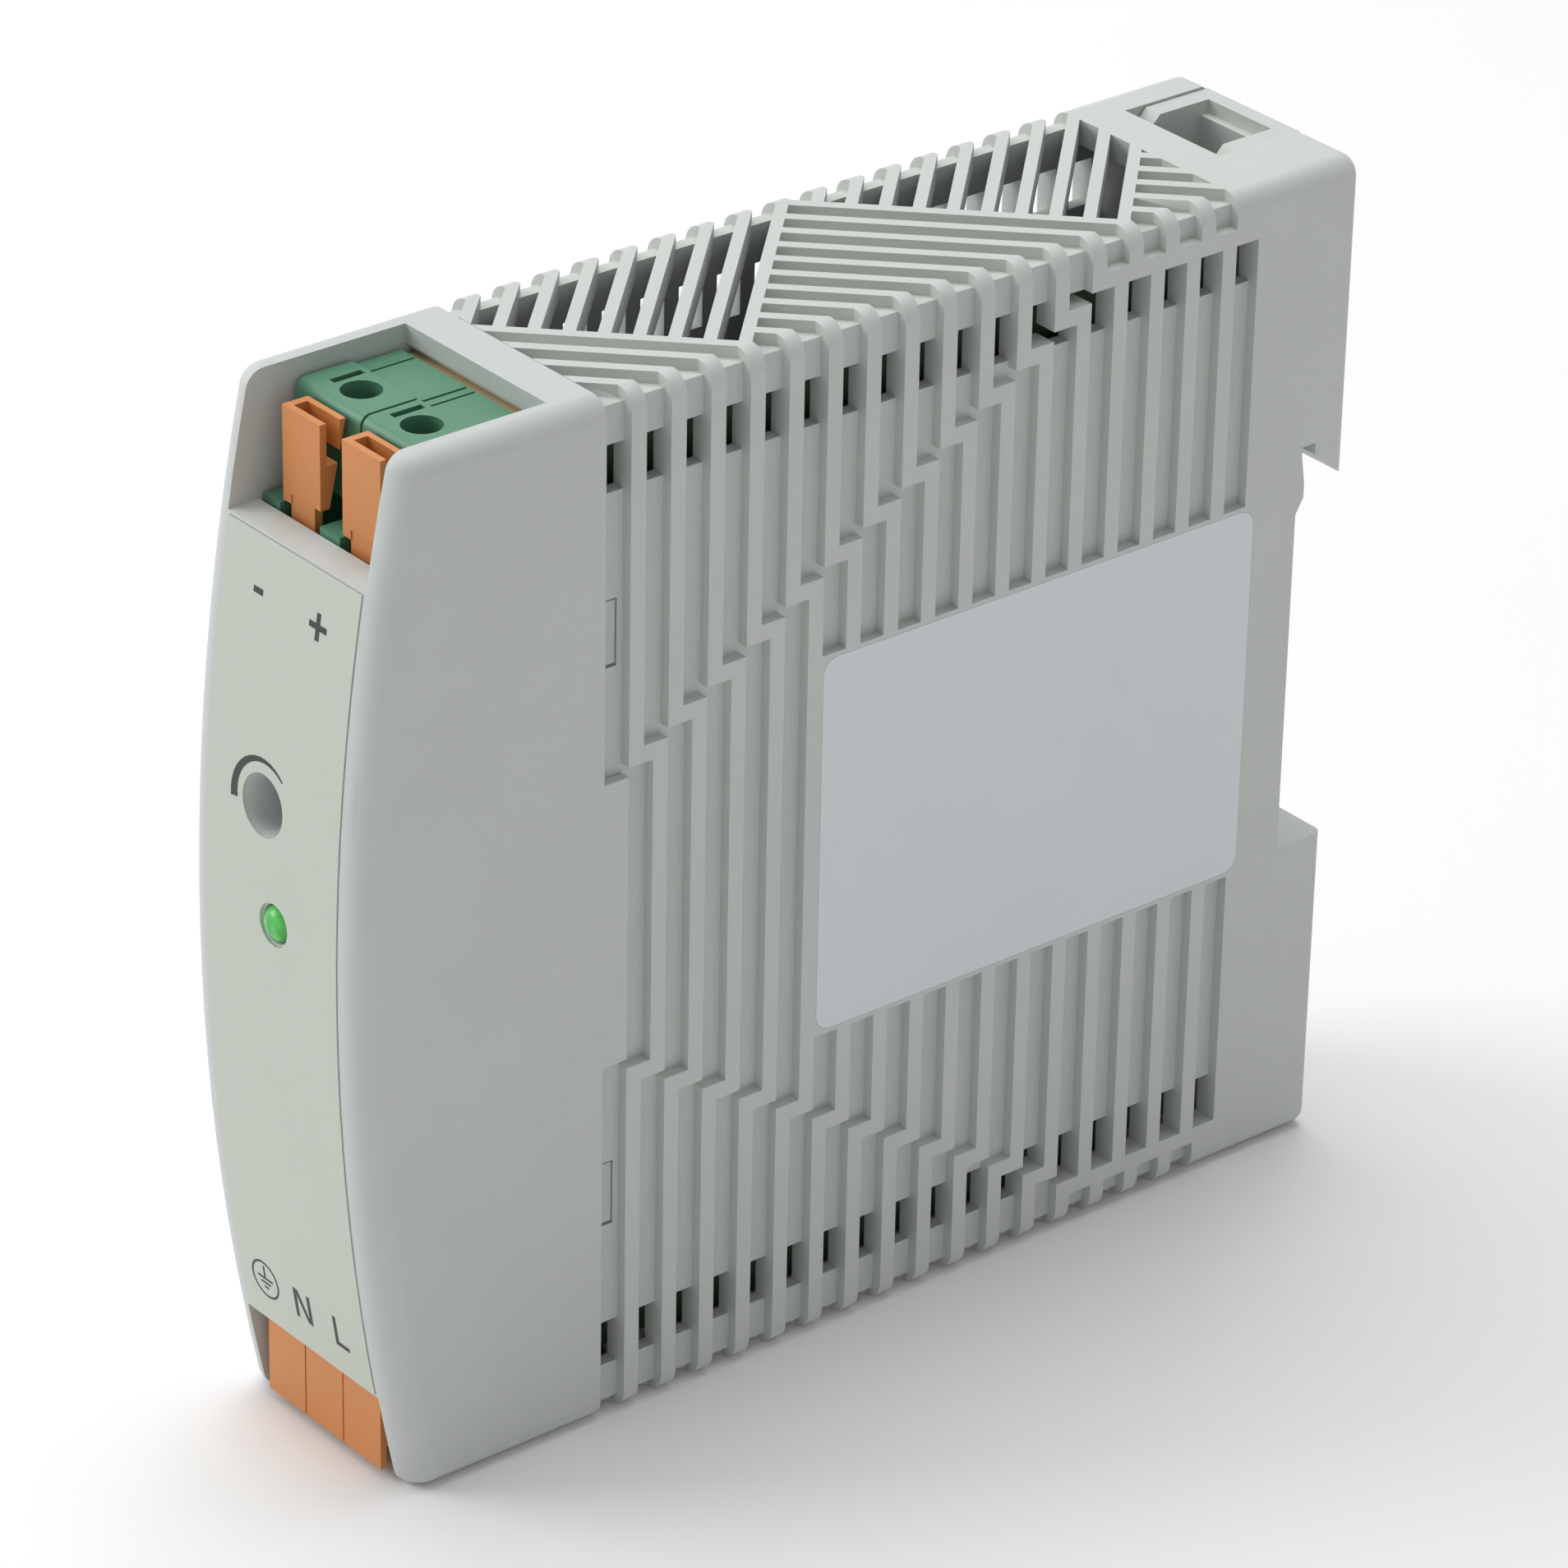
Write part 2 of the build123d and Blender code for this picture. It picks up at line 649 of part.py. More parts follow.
with BuildPart() as output_terminal:
    half = output_poles * output_pitch / 2 + output_wall
    front = y_edge - output_front
    step_front = y_edge - output_step_front
    step_z = output_top - output_step
    with BuildSketch(Plane.YZ):
        Polygon(
            (block_back, output_top - output_height),
            (step_front, output_top - output_height),
            (step_front, step_z),
            (front, step_z),
            (front, output_top),
            (block_back, output_top),
            align=None,
        )
    extrude(amount=half, both=True)
    top_front = output_terminal.edges().filter_by(Axis.X).group_by(Axis.Z)[-1].sort_by(Axis.Y)[0]
    fillet(top_front, 0.9)
    # lower shelf behind the wire entries, and the joint between the poles
    shelf_y = y_edge - output_bore_back + output_bore + 0.8
    cuboid((-half - 1, half + 1), (shelf_y, block_back + 1), (output_top - 0.35, output_top + 1), Mode.SUBTRACT)
    cuboid((-0.15, 0.15), (front - 1, front + 0.4), (step_z, output_top + 1), Mode.SUBTRACT)
    cuboid((-0.15, 0.15), (front - 1, block_back + 1), (output_top - 0.7, output_top + 1), Mode.SUBTRACT)
    for x in output_x:
        groove_x = x - output_pitch / 2 + 0.9
        cuboid((groove_x, groove_x + 0.25), (shelf_y, block_back + 1), (output_top - 0.7, output_top), Mode.SUBTRACT)
        # wire entry, test slot, clamp chamber, the button's pocket and the pin's hole
        bore_y = y_edge - output_bore_back
        barrel("z", (x, bore_y), output_bore, output_top - 5, output_top + 1, Mode.SUBTRACT)
        slot_y = (bore_y - 0.9, bore_y + 2.0)
        cuboid((x - 2.9, x - 2.2), slot_y, (output_top - 4, output_top + 1), Mode.SUBTRACT)
        low = output_top - output_height + 1.2
        cuboid((x - 2.6, x + 2.6), (front + 1, block_back - chamber_wall), (low, output_top - 3), Mode.SUBTRACT)
        cuboid((x - 2.55, x + 2.55), (step_front - 1, front + 1.2), (low, step_z + 1), Mode.SUBTRACT)
        pin_hole(x, output_top - 8)
output_terminal.part.label = "output_terminal"


def button_profile(x, wide, front, outer, length, up, thick):
    """Side view of a wedge-shaped release button; up is +1 when it is pressed downwards."""
    inner = outer - up * length
    with BuildSketch(Plane.YZ.offset(x - wide / 2)) as profile:
        Polygon((front, inner), (front, outer), (front + thick, outer), (front + 0.35 * thick, inner), align=None)
    return profile.sketch


def button_details(x, wide, front, outer, length, up, thick):
    """The screwdriver slot, the stem that opens the clamp and the foot of a button."""
    inner = outer - up * length
    slot_z = sorted((outer - up * 3.5, outer + up))
    cuboid((x - wide / 2 + 0.7, x + wide / 2 + 1), (front + 0.6, front + thick - 0.55), slot_z, Mode.SUBTRACT)
    stem_z = sorted((inner + up * 0.5, inner - up * 2.8))
    cuboid((x - 1.5, x + 1.5), (front + 0.1, front + 0.1 + 0.3 * thick), stem_z)
    foot_z = sorted((inner + up * 0.1, inner - up * 0.8))
    cuboid((x - wide / 2, x - wide / 2 + 1.0), (front, front + 0.3 * thick), foot_z)


output_buttons = {}
for name, x in zip(("output_button_minus", "output_button_plus"), output_x):
    with BuildPart() as button:
        outer = output_top - output_button_recess
        front = y_edge - output_button_front
        shape = (x, output_button_width, front, outer, output_button_length, 1, 2.4)
        extrude(to_extrude=button_profile(*shape), amount=output_button_width)
        button_details(*shape)
    button.part.label = name
    output_buttons[name] = button.part

input_buttons = {}
for name, x in zip(("input_button_earth", "input_button_neutral", "input_button_line"), input_x):
    with BuildPart() as button:
        wide = input_pitch - input_button_gap
        outer = input_bottom - input_button_proud
        front = y_edge - input_button_front
        shape = (x, wide, front, outer, input_button_length, -1, 2.9)
        extrude(to_extrude=button_profile(*shape), amount=wide)
        button_details(*shape)
    button.part.label = name
    input_buttons[name] = button.part

with BuildPart() as input_terminal:
    half = input_poles * input_pitch / 2 + input_wall
    front = y_edge - input_front
    step_front = y_edge - input_button_front + 0.1
    step_z = input_bottom + input_step
    top = input_bottom + input_height
    with BuildSketch(Plane.YZ):
        Polygon(
            (block_back, input_bottom),
            (front, input_bottom),
            (front, step_z),
            (step_front, step_z),
            (step_front, top),
            (block_back, top),
            align=None,
        )
    extrude(amount=half, both=True)
    for x in input_x:
        bore_y = y_edge - input_bore_back
        barrel("z", (x, bore_y), input_bore, input_bottom - 1, input_bottom + 5, Mode.SUBTRACT)
        chamber_z = (input_bottom + 3, top - 1.2)
        cuboid((x - 1.9, x + 1.9), (front + 1, block_back - chamber_wall), chamber_z, Mode.SUBTRACT)
        cuboid((x - 1.9, x + 1.9), (step_front - 1, front + 1.2), (step_z - 2, top - 1.2), Mode.SUBTRACT)
        pin_hole(x, input_bottom + 8)
input_terminal.part.label = "input_terminal"


def clamp_profile(x, wide, back, entry, up):
    """Side view of the bent strip that presses the wire against the contact bar."""
    base = back - 1.9
    with BuildSketch(Plane.YZ.offset(x - wide / 2)) as profile:
        with BuildLine():
            Polyline(
                (base, entry - up * 4.2),
                (base, entry - up * 10.8),
                (base - 3.4, entry - up * 10.8),
                (base - 3.4, entry - up * 6.5),
                (base - 1.0, entry - up * 4.6),
            )
        trace(line_width=0.35)
    return profile.sketch


def contact_pin(x, back, entry, up):
    """The current bar in a pole with its solder pin through the front board."""
    bar_z = sorted((entry - up * 4.0, entry - up * 11.4))
    cuboid((x - 1.3, x + 1.3), (back - 1.5, back - chamber_wall - fit_gap), bar_z)
    pin_z = (entry - up * 8 - pin_size / 2, entry - up * 8 + pin_size / 2)
    cuboid((x - pin_size / 2, x + pin_size / 2), (back - 1.0, back + fit_gap + board_sheet + lead_reach), pin_z)


clamp_parts = {}
for side, centres, entry, up, wide in (
    ("output", output_x, output_top, 1, 3.6),
    ("input", input_x, input_bottom, -1, 3.0),
):
    with BuildPart() as springs:
        for x in centres:
            extrude(to_extrude=clamp_profile(x, wide, block_back, entry, up), amount=wide)
    springs.part.label = side + "_clamp_springs"
    clamp_parts[springs.part.label] = springs.part
    with BuildPart() as pins:
        for x in centres:
            contact_pin(x, block_back, entry, up)
    pins.part.label = side + "_contact_pins"
    clamp_parts[pins.part.label] = pins.part

# ================================================================= boards
board_rear = y_edge - front_board_gap
board_start = board_rear + board_gap
link_z = [link_height + (index - (link_pins_count - 1) / 2) * link_pitch for index in range(link_pins_count)]
link_y = y_edge
trimmer_leads = [
    (trimmer_offset - trimmer_lead_x, trimmer_height - trimmer_lead_z),
    (trimmer_offset + trimmer_lead_x, trimmer_height - trimmer_lead_z),
    (trimmer_offset, trimmer_height + trimmer_lead_z),
]
lamp_leads = [(lamp_offset - lamp_lead_x, lamp_height), (lamp_offset + lamp_lead_x, lamp_height)]


def post(axis, centre, low, high):
    """A square lead along an axis."""
    across = [(value - lead_size / 2, value + lead_size / 2) for value in centre]
    if axis == "x":
        return cuboid((low, high), across[0], across[1])
    return cuboid(across[0], (low, high), across[1])


def lead_squares(plane, centres, gap=0.0):
    """Sections of square leads at several places, or with a gap those of their holes."""
    with BuildSketch(plane) as squares:
        with Locations(*centres):
            Rectangle(lead_size + 2 * gap, lead_size + 2 * gap)
    return squares.sketch


with BuildPart() as front_board:
    board_half = bay_half - 0.3
    cuboid((-board_half, board_half), (board_front, board_rear), (front_board_bottom, front_board_top))
    notch_depth = board_half - tongue_half + 1.4
    notch_centres = [
        (side * (board_half - notch_depth / 2 + 0.5), (board_front + board_rear) / 2, z)
        for side in (-1, 1)
        for z in (middle - tongue_offset, middle + tongue_offset)
    ]
    cuboids((notch_depth + 1, 3, tongue_height + 0.6), notch_centres, Mode.SUBTRACT)
    with BuildSketch(Plane.XZ.offset(-board_rear - 1)):
        with Locations(*[(x, output_top - 8) for x in output_x], *[(x, input_bottom + 8) for x in input_x]):
            Rectangle(pin_size + 2 * lead_gap, pin_size + 2 * lead_gap)
        with Locations(*trimmer_leads, *lamp_leads, *[(link_x, z) for z in link_z]):
            Rectangle(lead_size + 2 * lead_gap, lead_size + 2 * lead_gap)
    extrude(amount=board_sheet + 2, mode=Mode.SUBTRACT)
front_board.part.label = "front_board"

with BuildPart() as link_header:
    link_half = link_pins_count * link_pitch / 2
    header_y = (board_rear, board_rear + 1.9)
    cuboid((link_x - 1.25, link_x + 1.25), header_y, (link_height - link_half, link_height + link_half))
    holes = lead_squares(Plane.XZ.offset(-board_rear - 3), [(link_x, z) for z in link_z], lead_gap)
    extrude(to_extrude=holes, amount=4, mode=Mode.SUBTRACT)
link_header.part.label = "link_header"

with BuildPart() as link_pins:
    for z in link_z:
        post("y", (link_x, z), board_front - lead_reach, link_y + lead_size / 2)
        post("x", (link_y, z), link_x - lead_size / 2, main_board_right + lead_reach)
link_pins.part.label = "link_pins"

with BuildPart() as front_board_leads:
    for centre in trimmer_leads:
        post("y", centre, board_front, board_rear + lead_reach)
    for centre in lamp_leads:
        post("y", centre, -depth / 2 + lamp_length, board_rear + lead_reach)
front_board_leads.part.label = "front_board_leads"

# ================================================================= lamp and trimmer
lamp_end = -depth / 2 + lamp_length
with BuildPart() as status_lamp:
    barrel("y", (lamp_offset, lamp_height), lamp_radius, -depth / 2, lamp_end)
    fillet(status_lamp.edges().sort_by(Axis.Y)[0], lamp_radius - 0.4)
    barrel("y", (lamp_offset, lamp_height), lamp_radius + lamp_flange, lamp_end - 1, lamp_end)
status_lamp.part.label = "status_lamp"

with BuildPart() as lamp_spacer:
    barrel("y", (lamp_offset, lamp_height), spacer_radius, lamp_end, board_front)
    holes = lead_squares(Plane.XZ.offset(-board_front), lamp_leads, lead_gap)
    extrude(to_extrude=holes, amount=board_front - lamp_end, mode=Mode.SUBTRACT)
lamp_spacer.part.label = "lamp_spacer"

trimmer_front = board_front - trimmer_body_depth
trimmer_half = trimmer_body_size / 2
with BuildPart() as trimmer_body:
    trimmer_x = (trimmer_offset - trimmer_half, trimmer_offset + trimmer_half)
    trimmer_z = (trimmer_height - trimmer_half, trimmer_height + trimmer_half)
    cuboid(trimmer_x, (trimmer_front, board_front), trimmer_z)
    chamfer(trimmer_body.edges().filter_by(Axis.Y), 0.6)
    pit = trimmer_front + rotor_depth + fit_gap
    barrel("y", (trimmer_offset, trimmer_height), rotor_radius + fit_gap, trimmer_front - 1, pit, Mode.SUBTRACT)
trimmer_body.part.label = "trimmer_body"

with BuildPart() as trimmer_rotor:
    rotor_front = trimmer_front - rotor_reach
    barrel("y", (trimmer_offset, trimmer_height), rotor_radius, rotor_front, trimmer_front + rotor_depth)
    chamfer(trimmer_rotor.edges().sort_by(Axis.Y)[0], 0.2)
    slot_x = (trimmer_offset - rotor_slot / 2, trimmer_offset + rotor_slot / 2)
    cuboid(slot_x, (rotor_front - 1, rotor_front + 0.9), (trimmer_height - 2, trimmer_height + 2), Mode.SUBTRACT)
trimmer_rotor.part.label = "trimmer_rotor"

# ================================================================= parts on the main board
board_face = board_left - 0.1  # the parts stand a little off the board
core_x = -1.3
core_y = y_edge + 32.0
core_z = 66.0
core_length = 20.0
core_height = 21.0
core_thickness = 6.0
core_leg = 3.0
winding_build = 3.1
flange_sheet = 0.8

with BuildPart() as transformer_core:
    core_half_x = core_thickness / 2
    core_span_x = (core_x - core_half_x, core_x + core_half_x)
    core_span_y = (core_y - core_length / 2, core_y + core_length / 2)
    for low, high in ((core_z - core_height / 2, core_z - 0.02), (core_z + 0.02, core_z + core_height / 2)):
        cuboid(core_span_x, core_span_y, (low, high))
    window_z = (core_z - core_height / 2 + core_leg, core_z + core_height / 2 - core_leg)
    for side in (-1, 1):
        window_y = sorted((core_y + side * core_leg, core_y + side * (core_length / 2 - core_leg)))
        cuboid((core_x - 9, core_x + 9), window_y, window_z, Mode.SUBTRACT)
transformer_core.part.label = "transformer_core"

tube_y = core_leg + 0.1
tube_x = core_thickness / 2 + 0.1
with BuildPart() as transformer_bobbin:
    flange_x = (core_x - tube_x - winding_build - 0.1, core_x + tube_x + winding_build + 0.1)
    flange_y = (core_y - core_length / 2 + core_leg + 0.1, core_y + core_length / 2 - core_leg - 0.1)
    tube_z = (window_z[0] + 0.1, window_z[1] - 0.1)
    cuboid((core_x - tube_x - 0.5, core_x + tube_x + 0.5), (core_y - tube_y - 0.5, core_y + tube_y + 0.5), tube_z)
    for z in (tube_z[0], tube_z[1] - flange_sheet):
        cuboid(flange_x, flange_y, (z, z + flange_sheet))
    for z in (tube_z[0] - 2.4, tube_z[1] - flange_sheet):
        cuboid((core_span_x[1] + 0.1, board_face), flange_y, (z, z + 2.4 + flange_sheet))
    cuboid((core_x - tube_x, core_x + tube_x), (core_y - tube_y, core_y + tube_y), (0, height), Mode.SUBTRACT)
transformer_bobbin.part.label = "transformer_bobbin"

with BuildPart() as transformer_winding:
    winding_z = (tube_z[0] + flange_sheet, tube_z[1] - flange_sheet)
    with BuildSketch(Plane.XY.offset(winding_z[0])):
        with Locations((core_x, core_y)):
            RectangleRounded(2 * (tube_x + winding_build), 2 * (tube_y + winding_build + 0.1), 2.0)
            Rectangle(2 * (tube_x + 0.5), 2 * (tube_y + 0.5), mode=Mode.SUBTRACT)
    extrude(amount=winding_z[1] - winding_z[0])
transformer_winding.part.label = "transformer_winding"

with BuildPart() as output_capacitors:
    output_can = 4.8
    output_can_y = y_edge + 8.6
    output_can_z = (77.0, 66.8)
    for z in output_can_z:
        barrel("x", (output_can_y, z), output_can, board_face - 12.5, board_face)
    chamfer(output_capacitors.edges().filter_by(GeomType.CIRCLE), 0.4)
output_capacitors.part.label = "output_capacitors"

with BuildPart() as input_capacitor:
    input_can = 6.1
    input_can_y = (y_edge + 37.0, y_edge + 59.0)
    input_can_z = 30.0
    input_can_x = board_face - input_can
    barrel("y", (input_can_x, input_can_z), input_can, *input_can_y)
    chamfer(input_capacitor.edges().filter_by(GeomType.CIRCLE), 0.5)
input_capacitor.part.label = "input_capacitor"

with BuildPart() as x_capacitor:
    x_cap_y = y_edge + 10.5
    x_cap_z = 25.0
    cuboid((board_face - 11.2, board_face), (x_cap_y - 3, x_cap_y + 3), (x_cap_z - 6.5, x_cap_z + 6.5))
    fillet(x_capacitor.edges().filter_by(Axis.X), 0.4)
x_capacitor.part.label = "x_capacitor"

choke_x = board_face - 7.1
choke_y = y_edge + 17.5
choke_z = 16.5
choke_outer = 6.3
choke_inner = 3.4
choke_half = 2.5
choke_turns = 0.7
choke_arc = 130.0


def choke_ring(outer, inner, half, arc, mode=Mode.ADD):
    """Part of a ring around the choke's axis, with a rectangular section."""
    with BuildSketch(Plane(origin=(choke_x, choke_y, choke_z), x_dir=(1, 0, 0), z_dir=(0, 0, 1))) as section:
        with Locations(((outer + inner) / 2, 0)):
            Rectangle(outer - inner, 2 * half)
    axis = Axis((choke_x, choke_y, choke_z), (0, 1, 0))
    revolve(section.sketch, axis=axis, revolution_arc=arc, mode=mode)


with BuildPart() as choke_core:
    choke_ring(choke_outer, choke_inner, choke_half, 360)
choke_core.part.label = "choke_core"

with BuildPart() as one_winding:
    choke_ring(choke_outer + choke_turns, choke_inner - choke_turns, choke_half + choke_turns, choke_arc)
    choke_ring(choke_outer + fit_gap, choke_inner - fit_gap, choke_half + fit_gap, 360, Mode.SUBTRACT)
with BuildPart() as choke_windings:
    for turn in (-choke_arc / 2 + 90, -choke_arc / 2 - 90):
        add(one_winding.part.rotate(Axis((choke_x, choke_y, choke_z), (0, 1, 0)), turn))
choke_windings.part.label = "choke_windings"

with BuildPart() as bridge_rectifier:
    bridge_y = y_edge + 27.5
    bridge_z = 29.0
    cuboid((board_face - 3.2, board_face), (bridge_y - 4.2, bridge_y + 4.2), (bridge_z - 3.2, bridge_z + 3.2))
    chamfer(bridge_rectifier.faces().sort_by(Axis.X)[0].edges(), 0.5)
bridge_rectifier.part.label = "bridge_rectifier"


def chip_package(y, z, length, wide, tall):
    """A moulded chip body that stands on the board."""
    cuboid((board_face - tall, board_face), (y - wide / 2, y + wide / 2), (z - length / 2, z + length / 2))


with BuildPart() as optocoupler:
    opto_y = y_edge + 15.5
    opto_z = 46.0
    chip_package(opto_y, opto_z, 4.6, 6.4, 3.4)
    chamfer(optocoupler.faces().sort_by(Axis.X)[0].edges(), 0.3)
optocoupler.part.label = "optocoupler"

with BuildPart() as control_chip:
    chip_y = y_edge + 53.5
    chip_z = 44.8
    chip_package(chip_y, chip_z, 9.6, 6.4, 3.4)
    chamfer(control_chip.faces().sort_by(Axis.X)[0].edges(), 0.3)
control_chip.part.label = "control_chip"


def flat_package(y, z, side):
    """A power device with its metal tab towards a heatsink on one side of it."""
    tab = sorted((y, y + side * 1.3))
    body = sorted((y + side * 0.4, y + side * 4.4))
    cuboid((board_face - 13.2, board_face - 3.0), tab, (z - 5, z + 5))
    cuboid((board_face - 12.0, board_face - 2.6), body, (z - 4.9, z + 4.9))


sink_sheet = 1.2
sink_x = (board_face - 14.2, board_face)
device_z = 66.0
diode_sink_y = y_edge + 14.6
transistor_sink_y = y_edge + 49.4

with BuildPart() as output_diode:
    flat_package(diode_sink_y + sink_sheet, device_z, 1)
output_diode.part.label = "output_diode"

with BuildPart() as diode_heatsink:
    cuboid(sink_x, (diode_sink_y, diode_sink_y + sink_sheet), (device_z - 9, device_z + 9))
    fin_y = (diode_sink_y, diode_sink_y + 4.8)
    cuboid(sink_x, fin_y, (device_z - 9, device_z - 9 + sink_sheet))
    cuboid(sink_x, fin_y, (device_z + 9 - sink_sheet, device_z + 9))
diode_heatsink.part.label = "diode_heatsink"

with BuildPart() as power_transistor:
    flat_package(transistor_sink_y, device_z, -1)
power_transistor.part.label = "power_transistor"

with BuildPart() as transistor_heatsink:
    cuboid(sink_x, (transistor_sink_y, transistor_sink_y + sink_sheet), (device_z - 10, device_z + 10))
    fin_y = (transistor_sink_y, transistor_sink_y + 9)
    cuboid(sink_x, fin_y, (device_z - 10, device_z - 10 + sink_sheet))
    cuboid(sink_x, fin_y, (device_z + 10 - sink_sheet, device_z + 10))
transistor_heatsink.part.label = "transistor_heatsink"

with BuildPart() as fuse:
    fuse_y = y_edge + 6.6
    fuse_z = 10.5
    barrel("x", (fuse_y, fuse_z), 4.2, board_face - 8.0, board_face)
    chamfer(fuse.edges().filter_by(GeomType.CIRCLE).sort_by(Axis.X)[0], 0.4)
fuse.part.label = "fuse"


def disc(y, z, radius, thick):
    """A disc-shaped part that stands on its edge, facing along the module."""
    barrel("y", (board_face - radius, z), radius, y - thick / 2, y + thick / 2)


disc_y = y_edge + 3.4
with BuildPart() as varistor:
    varistor_z = 22.5
    disc(disc_y, varistor_z, 4.0, 3.2)
    chamfer(varistor.edges().filter_by(GeomType.CIRCLE), 0.7)
varistor.part.label = "varistor"

with BuildPart() as inrush_thermistor:
    thermistor_z = 33.0
    disc(disc_y, thermistor_z, 4.2, 3.6)
    chamfer(inrush_thermistor.edges().filter_by(GeomType.CIRCLE), 0.8)
inrush_thermistor.part.label = "inrush_thermistor"

with BuildPart() as y_capacitors:
    y_cap_z = 46.0
    y_cap_y = (y_edge + 26.0, y_edge + 38.0)
    for y in y_cap_y:
        disc(y, y_cap_z, 3.2, 2.6)
    chamfer(y_capacitors.edges().filter_by(GeomType.CIRCLE), 0.6)
y_capacitors.part.label = "y_capacitors"

# places of the leads in the main board, in Y and Z: under the parts, beside the chips, and of the devices
under_leads = [(core_y + step, z) for step in (-4.5, -1.5, 1.5, 4.5) for z in (tube_z[0] - 1.2, tube_z[1] + 1.2)]
under_leads += [(output_can_y, z + step) for z in output_can_z for step in (-2.5, 2.5)]
under_leads += [(x_cap_y, x_cap_z + step) for step in (-5, 5)]
under_leads += [(choke_y + side, choke_z + step) for side in (-2.4, 2.4) for step in (-3.4, 3.4)]
under_leads += [(bridge_y + side, bridge_z + step) for side in (-2.6, 2.6) for step in (-2.5, 2.5)]
for y, z in ((fuse_y, fuse_z), (disc_y, varistor_z), (disc_y, thermistor_z)):
    under_leads += [(y, z - 2.5), (y, z + 2.5)]
under_leads += [(y, y_cap_z + step) for y in y_cap_y for step in (-2.5, 2.5)]
chip_leads = [(opto_y + side, opto_z + step) for side in (-3.5, 3.5) for step in (-1.27, 1.27)]
chip_leads += [(chip_y + side, chip_z + step) for side in (-3.5, 3.5) for step in (-3.81, -1.27, 1.27, 3.81)]
device_y = (diode_sink_y + sink_sheet + 2.4, transistor_sink_y - 2.4)
device_leads = [(y, device_z + step) for y in device_y for step in (-2.54, 0, 2.54)]
can_lead_y = input_can_y[0] - 1.2
can_leads = [(can_lead_y, input_can_z - 2.5), (can_lead_y, input_can_z + 2.5)]
lead_end = main_board_right + lead_reach

with BuildPart() as component_leads:
    for start, centres in (
        (board_face, under_leads),
        (board_face - 1.7, chip_leads),
        (board_face - 2.6, device_leads),
        (input_can_x - lead_size / 2, can_leads),
    ):
        extrude(to_extrude=lead_squares(Plane.YZ.offset(start), centres), amount=lead_end - start)
    for y, z in can_leads:
        post("y", (input_can_x, z), y - lead_size / 2, input_can_y[0])
component_leads.part.label = "component_leads"

with BuildPart() as main_board:
    main_y = (board_start, y_edge + main_board_end)
    cuboid((board_left, main_board_right), main_y, (main_board_bottom, main_board_top))
    all_leads = under_leads + chip_leads + device_leads + can_leads + [(link_y, z) for z in link_z]
    holes = lead_squares(Plane.YZ.offset(board_left), all_leads, lead_gap)
    extrude(to_extrude=holes, amount=board_sheet, mode=Mode.SUBTRACT)
main_board.part.label = "main_board"

single_parts = [
    main_housing,
    front_cover,
    front_film,
    side_label,
    rail_latch,
    latch_spring,
    output_terminal,
    input_terminal,
    front_board,
    link_header,
    link_pins,
    front_board_leads,
    status_lamp,
    lamp_spacer,
    trimmer_body,
    trimmer_rotor,
    main_board,
    component_leads,
    transformer_core,
    transformer_bobbin,
    transformer_winding,
    output_capacitors,
    input_capacitor,
    x_capacitor,
    choke_core,
    choke_windings,
    bridge_rectifier,
    optocoupler,
    control_chip,
    output_diode,
    diode_heatsink,
    power_transistor,
    transistor_heatsink,
    fuse,
    varistor,
    inrush_thermistor,
    y_capacitors,
]
parts = {builder.part.label: builder.part for builder in single_parts}
parts.update(output_buttons)
parts.update(input_buttons)
parts.update(clamp_parts)
for name, solid in parts.items():
    export_step(solid, f"parts/{name}.step")
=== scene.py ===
import math

import bmesh
import bpy
from mathutils import Matrix, Vector


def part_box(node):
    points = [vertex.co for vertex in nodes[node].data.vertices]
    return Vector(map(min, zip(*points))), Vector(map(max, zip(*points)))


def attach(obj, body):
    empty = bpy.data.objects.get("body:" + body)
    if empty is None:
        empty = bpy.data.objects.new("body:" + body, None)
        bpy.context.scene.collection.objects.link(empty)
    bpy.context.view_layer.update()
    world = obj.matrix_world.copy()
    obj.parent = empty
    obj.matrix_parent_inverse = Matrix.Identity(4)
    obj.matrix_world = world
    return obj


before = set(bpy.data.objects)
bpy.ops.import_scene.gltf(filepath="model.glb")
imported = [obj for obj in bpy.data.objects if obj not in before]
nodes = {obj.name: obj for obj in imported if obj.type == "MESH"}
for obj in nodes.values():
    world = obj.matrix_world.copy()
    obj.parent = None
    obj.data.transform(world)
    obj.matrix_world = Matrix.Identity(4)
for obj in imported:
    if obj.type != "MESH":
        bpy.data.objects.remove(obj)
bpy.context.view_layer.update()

MM = 0.001

# ---------------------------------------------------------------- the bowed front, from the frame
ROTOR_LOW, ROTOR_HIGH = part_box("trimmer_rotor")
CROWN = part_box("front_film")[0][1]  # Y of the foremost line of the film
MIDDLE = 45 * MM  # half the height of the object
CROWN_RISE = 5 * MM  # bow of the front over half the height
BOW = (MIDDLE ** 2 + CROWN_RISE ** 2) / (2 * CROWN_RISE)  # radius of that bow


# ---------------------------------------------------------------- materials
PLASTIC_SPECULAR = 0.4
GRAIN_DEPTH = 0.02 * MM


def new_material(name):
    """An empty node material with its output and Principled shader."""
    material = bpy.data.materials.new(name)
    material.use_nodes = True
    tree = material.node_tree
    tree.nodes.clear()
    output = tree.nodes.new("ShaderNodeOutputMaterial")
    shader = tree.nodes.new("ShaderNodeBsdfPrincipled")
    tree.links.new(shader.outputs["BSDF"], output.inputs["Surface"])
    return material, tree, shader


def linear(rgb):
    """An sRGB colour of 0 to 255 values as linear values with alpha."""
    values = []
    for value in rgb:
        value /= 255
        values.append(value / 12.92 if value <= 0.04045 else ((value + 0.055) / 1.055) ** 2.4)
    return (*values, 1.0)


